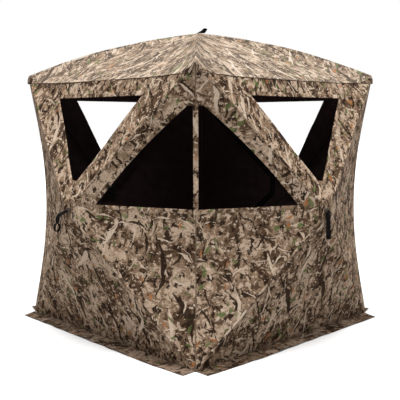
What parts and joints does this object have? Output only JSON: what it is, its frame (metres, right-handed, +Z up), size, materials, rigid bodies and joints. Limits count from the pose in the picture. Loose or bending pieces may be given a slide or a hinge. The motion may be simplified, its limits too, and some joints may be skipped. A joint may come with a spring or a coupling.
{
  "type": "pop up ground blind",
  "caption": "Square pop up hunting blind of lined camouflage cloth, with hubs and poles that snap each side in or out, open windows, a zipped door and a ground skirt.",
  "frame": {"origin": "middle of the footprint, on the ground", "axes": "+Z up, front wall faces -Y, right wall faces +X; the corner windows are at the front right corner and the door at the back left"},
  "size_m": [1.9946, 2.1656, 1.7993],
  "materials": {
    "roof_cloth": "matte",
    "wall_cloth": "matte",
    "black_webbing": "matte",
    "hub_plastic": "matte",
    "pole_fibreglass": "satin",
    "pin_steel": "satin",
    "eyelet_metal": "satin",
    "zip_metal": "satin"
  },
  "bodies": {
    "shell": {"roof": "roof_cloth", "wall_front": "wall_cloth", "wall_right": "wall_cloth", "wall_back": "wall_cloth", "wall_left": "wall_cloth", "skirt": "wall_cloth", "stake_eyelets": "eyelet_metal", "corner_caps": "roof_cloth", "corner_strap": "wall_cloth", "corner_pockets": "black_webbing"},
    "front_hub": {"hub_front": "hub_plastic", "hub_pins_front": "pin_steel", "strap_plate_front": "hub_plastic"},
    "front_pole_upper_right": {"pole_front_upper_right": "pole_fibreglass"},
    "front_pole_upper_left": {"pole_front_upper_left": "pole_fibreglass"},
    "front_pole_lower_left": {"pole_front_lower_left": "pole_fibreglass"},
    "front_pole_lower_right": {"pole_front_lower_right": "pole_fibreglass"},
    "right_hub": {"hub_right": "hub_plastic", "hub_pins_right": "pin_steel", "strap_plate_right": "hub_plastic"},
    "right_pole_upper_right": {"pole_right_upper_right": "pole_fibreglass"},
    "right_pole_upper_left": {"pole_right_upper_left": "pole_fibreglass"},
    "right_pole_lower_left": {"pole_right_lower_left": "pole_fibreglass"},
    "right_pole_lower_right": {"pole_right_lower_right": "pole_fibreglass"},
    "back_hub": {"hub_back": "hub_plastic", "hub_pins_back": "pin_steel", "strap_plate_back": "hub_plastic"},
    "back_pole_upper_right": {"pole_back_upper_right": "pole_fibreglass"},
    "back_pole_upper_left": {"pole_back_upper_left": "pole_fibreglass"},
    "back_pole_lower_left": {"pole_back_lower_left": "pole_fibreglass"},
    "back_pole_lower_right": {"pole_back_lower_right": "pole_fibreglass"},
    "left_hub": {"hub_left": "hub_plastic", "hub_pins_left": "pin_steel", "strap_plate_left": "hub_plastic"},
    "left_pole_upper_right": {"pole_left_upper_right": "pole_fibreglass"},
    "left_pole_upper_left": {"pole_left_upper_left": "pole_fibreglass"},
    "left_pole_lower_left": {"pole_left_lower_left": "pole_fibreglass"},
    "left_pole_lower_right": {"pole_left_lower_right": "pole_fibreglass"},
    "roof_hub": {"hub_roof": "hub_plastic", "hub_pins_roof": "pin_steel", "strap_plate_roof": "hub_plastic"},
    "roof_pole_back_right": {"pole_roof_back_right": "pole_fibreglass"},
    "roof_pole_back_left": {"pole_roof_back_left": "pole_fibreglass"},
    "roof_pole_front_left": {"pole_roof_front_left": "pole_fibreglass"},
    "roof_pole_front_right": {"pole_roof_front_right": "pole_fibreglass"},
    "front_strap": {"pull_strap_front": "black_webbing"},
    "right_strap": {"pull_strap_right": "black_webbing"},
    "back_strap": {"pull_strap_back": "black_webbing"},
    "left_strap": {"pull_strap_left": "black_webbing"},
    "roof_strap": {"pull_strap_roof": "black_webbing"},
    "door_frame": {"door_zip_tape": "black_webbing"},
    "door": {"door_panel": "wall_cloth"},
    "zip_upper": {"zip_slider_upper": "zip_metal"},
    "zip_lower": {"zip_slider_lower": "zip_metal"}
  },
  "joints": [
    {"name": "front_pop", "type": "slide", "parent": "shell", "child": "front_hub", "axis": [0, -1, 0], "range_m": [-0.39506, 0], "deforming": ["wall_front", "corner_pockets"]},
    {"name": "front_pole_upper_right_swing", "type": "hinge", "parent": "front_hub", "child": "front_pole_upper_right", "pos_m": [0.02404, -0.9482, 0.77404], "axis": [0.7071, 0, -0.7071], "range_deg": [-0.02, 23.48]},
    {"name": "front_pole_upper_left_swing", "type": "hinge", "parent": "front_hub", "child": "front_pole_upper_left", "pos_m": [-0.02404, -0.9482, 0.77404], "axis": [0.7071, 0, 0.7071], "range_deg": [-0.02, 23.48]},
    {"name": "front_pole_lower_left_swing", "type": "hinge", "parent": "front_hub", "child": "front_pole_lower_left", "pos_m": [-0.02404, -0.9482, 0.72596], "axis": [-0.7071, 0, 0.7071], "range_deg": [-0.02, 23.48]},
    {"name": "front_pole_lower_right_swing", "type": "hinge", "parent": "front_hub", "child": "front_pole_lower_right", "pos_m": [0.02404, -0.9482, 0.72596], "axis": [-0.7071, 0, -0.7071], "range_deg": [-0.02, 23.48]},
    {"name": "right_pop", "type": "slide", "parent": "shell", "child": "right_hub", "axis": [1, 0, 0], "range_m": [-0.39506, 0], "deforming": ["wall_right", "corner_pockets"]},
    {"name": "right_pole_upper_right_swing", "type": "hinge", "parent": "right_hub", "child": "right_pole_upper_right", "pos_m": [0.9482, 0.02404, 0.77404], "axis": [0, 0.7071, -0.7071], "range_deg": [-0.02, 23.48]},
    {"name": "right_pole_upper_left_swing", "type": "hinge", "parent": "right_hub", "child": "right_pole_upper_left", "pos_m": [0.9482, -0.02404, 0.77404], "axis": [0, 0.7071, 0.7071], "range_deg": [-0.02, 23.48]},
    {"name": "right_pole_lower_left_swing", "type": "hinge", "parent": "right_hub", "child": "right_pole_lower_left", "pos_m": [0.9482, -0.02404, 0.72596], "axis": [0, -0.7071, 0.7071], "range_deg": [-0.02, 23.48]},
    {"name": "right_pole_lower_right_swing", "type": "hinge", "parent": "right_hub", "child": "right_pole_lower_right", "pos_m": [0.9482, 0.02404, 0.72596], "axis": [0, -0.7071, -0.7071], "range_deg": [-0.02, 23.48]},
    {"name": "back_pop", "type": "slide", "parent": "shell", "child": "back_hub", "axis": [0, 1, 0], "range_m": [-0.39506, 0], "deforming": ["wall_back", "corner_pockets"]},
    {"name": "back_pole_upper_right_swing", "type": "hinge", "parent": "back_hub", "child": "back_pole_upper_right", "pos_m": [-0.02404, 0.9482, 0.77404], "axis": [-0.7071, 0, -0.7071], "range_deg": [-0.02, 23.48]},
    {"name": "back_pole_upper_left_swing", "type": "hinge", "parent": "back_hub", "child": "back_pole_upper_left", "pos_m": [0.02404, 0.9482, 0.77404], "axis": [-0.7071, 0, 0.7071], "range_deg": [-0.02, 23.48]},
    {"name": "back_pole_lower_left_swing", "type": "hinge", "parent": "back_hub", "child": "back_pole_lower_left", "pos_m": [0.02404, 0.9482, 0.72596], "axis": [0.7071, 0, 0.7071], "range_deg": [-0.02, 23.48]},
    {"name": "back_pole_lower_right_swing", "type": "hinge", "parent": "back_hub", "child": "back_pole_lower_right", "pos_m": [-0.02404, 0.9482, 0.72596], "axis": [0.7071, 0, -0.7071], "range_deg": [-0.02, 23.48]},
    {"name": "left_pop", "type": "slide", "parent": "shell", "child": "left_hub", "axis": [-1, 0, 0], "range_m": [-0.39506, 0], "deforming": ["wall_left", "corner_pockets"]},
    {"name": "left_pole_upper_right_swing", "type": "hinge", "parent": "left_hub", "child": "left_pole_upper_right", "pos_m": [-0.9482, -0.02404, 0.77404], "axis": [0, -0.7071, -0.7071], "range_deg": [-0.02, 23.48]},
    {"name": "left_pole_upper_left_swing", "type": "hinge", "parent": "left_hub", "child": "left_pole_upper_left", "pos_m": [-0.9482, 0.02404, 0.77404], "axis": [0, -0.7071, 0.7071], "range_deg": [-0.02, 23.48]},
    {"name": "left_pole_lower_left_swing", "type": "hinge", "parent": "left_hub", "child": "left_pole_lower_left", "pos_m": [-0.9482, 0.02404, 0.72596], "axis": [0, 0.7071, 0.7071], "range_deg": [-0.02, 23.48]},
    {"name": "left_pole_lower_right_swing", "type": "hinge", "parent": "left_hub", "child": "left_pole_lower_right", "pos_m": [-0.9482, -0.02404, 0.72596], "axis": [0, 0.7071, -0.7071], "range_deg": [-0.02, 23.48]},
    {"name": "roof_pop", "type": "slide", "parent": "shell", "child": "roof_hub", "axis": [0, 0, 1], "range_m": [-0.44691, 0], "deforming": ["roof", "corner_pockets"]},
    {"name": "roof_pole_back_right_swing", "type": "hinge", "parent": "roof_hub", "child": "roof_pole_back_right", "pos_m": [0.02404, 0.02404, 1.7282], "axis": [0.7071, -0.7071, 0], "range_deg": [-0.02, 26.46]},
    {"name": "roof_pole_back_left_swing", "type": "hinge", "parent": "roof_hub", "child": "roof_pole_back_left", "pos_m": [-0.02404, 0.02404, 1.7282], "axis": [0.7071, 0.7071, 0], "range_deg": [-0.02, 26.46]},
    {"name": "roof_pole_front_left_swing", "type": "hinge", "parent": "roof_hub", "child": "roof_pole_front_left", "pos_m": [-0.02404, -0.02404, 1.7282], "axis": [-0.7071, 0.7071, 0], "range_deg": [-0.02, 26.46]},
    {"name": "roof_pole_front_right_swing", "type": "hinge", "parent": "roof_hub", "child": "roof_pole_front_right", "pos_m": [0.02404, -0.02404, 1.7282], "axis": [-0.7071, -0.7071, 0], "range_deg": [-0.02, 26.46]},
    {"name": "front_strap_swing", "type": "hinge", "parent": "front_hub", "child": "front_strap", "pos_m": [0, -0.9803, 0.75], "axis": [-1, 0, 0], "range_deg": [-40, 110]},
    {"name": "right_strap_swing", "type": "hinge", "parent": "right_hub", "child": "right_strap", "pos_m": [0.9803, 0, 0.75], "axis": [0, -1, 0], "range_deg": [0, 150]},
    {"name": "back_strap_swing", "type": "hinge", "parent": "back_hub", "child": "back_strap", "pos_m": [0, 0.9803, 0.75], "axis": [1, 0, 0], "range_deg": [-40, 110]},
    {"name": "left_strap_swing", "type": "hinge", "parent": "left_hub", "child": "left_strap", "pos_m": [-0.9803, 0, 0.75], "axis": [0, 1, 0], "range_deg": [0, 150]},
    {"name": "roof_strap_swing", "type": "hinge", "parent": "roof_hub", "child": "roof_strap", "pos_m": [0, 0, 1.7603], "axis": [1, 0, 0], "range_deg": [-55, 55]},
    {"name": "door_frame_swing", "type": "hinge", "parent": "shell", "child": "door_frame", "pos_m": [-0.69697, 0.76667, 0.75], "axis": [0, 0, 1], "range_deg": [-31.65, 0.02]},
    {"name": "door_swing", "type": "hinge", "parent": "door_frame", "child": "door", "pos_m": [-0.65288, 0.78052, 0.75], "axis": [0, 0, 1], "range_deg": [0, 120]},
    {"name": "zip_upper_slide", "type": "slide", "parent": "door_frame", "child": "zip_upper", "axis": [-0.69, -0.2169, 0.6905], "range_m": [0, 0.62]},
    {"name": "zip_lower_slide", "type": "slide", "parent": "door_frame", "child": "zip_lower", "axis": [-0.69, -0.2169, -0.6905], "range_m": [0, 0.62]}
  ],
  "couplings": [
    {"joint": "front_pole_upper_right_swing", "follows": "front_pop", "rad_per_m": -1.0361},
    {"joint": "front_pole_upper_left_swing", "follows": "front_pop", "rad_per_m": -1.0361},
    {"joint": "front_pole_lower_left_swing", "follows": "front_pop", "rad_per_m": -1.0361},
    {"joint": "front_pole_lower_right_swing", "follows": "front_pop", "rad_per_m": -1.0361},
    {"joint": "right_pole_upper_right_swing", "follows": "right_pop", "rad_per_m": -1.0361},
    {"joint": "right_pole_upper_left_swing", "follows": "right_pop", "rad_per_m": -1.0361},
    {"joint": "right_pole_lower_left_swing", "follows": "right_pop", "rad_per_m": -1.0361},
    {"joint": "right_pole_lower_right_swing", "follows": "right_pop", "rad_per_m": -1.0361},
    {"joint": "back_pole_upper_right_swing", "follows": "back_pop", "rad_per_m": -1.0361},
    {"joint": "back_pole_upper_left_swing", "follows": "back_pop", "rad_per_m": -1.0361},
    {"joint": "back_pole_lower_left_swing", "follows": "back_pop", "rad_per_m": -1.0361},
    {"joint": "back_pole_lower_right_swing", "follows": "back_pop", "rad_per_m": -1.0361},
    {"joint": "left_pole_upper_right_swing", "follows": "left_pop", "rad_per_m": -1.0361},
    {"joint": "left_pole_upper_left_swing", "follows": "left_pop", "rad_per_m": -1.0361},
    {"joint": "left_pole_lower_left_swing", "follows": "left_pop", "rad_per_m": -1.0361},
    {"joint": "left_pole_lower_right_swing", "follows": "left_pop", "rad_per_m": -1.0361},
    {"joint": "roof_pole_back_right_swing", "follows": "roof_pop", "rad_per_m": -1.0321},
    {"joint": "roof_pole_back_left_swing", "follows": "roof_pop", "rad_per_m": -1.0321},
    {"joint": "roof_pole_front_left_swing", "follows": "roof_pop", "rad_per_m": -1.0321},
    {"joint": "roof_pole_front_right_swing", "follows": "roof_pop", "rad_per_m": -1.0321},
    {"joint": "door_frame_swing", "follows": "back_pop", "rad_per_m": 1.397}
  ]
}
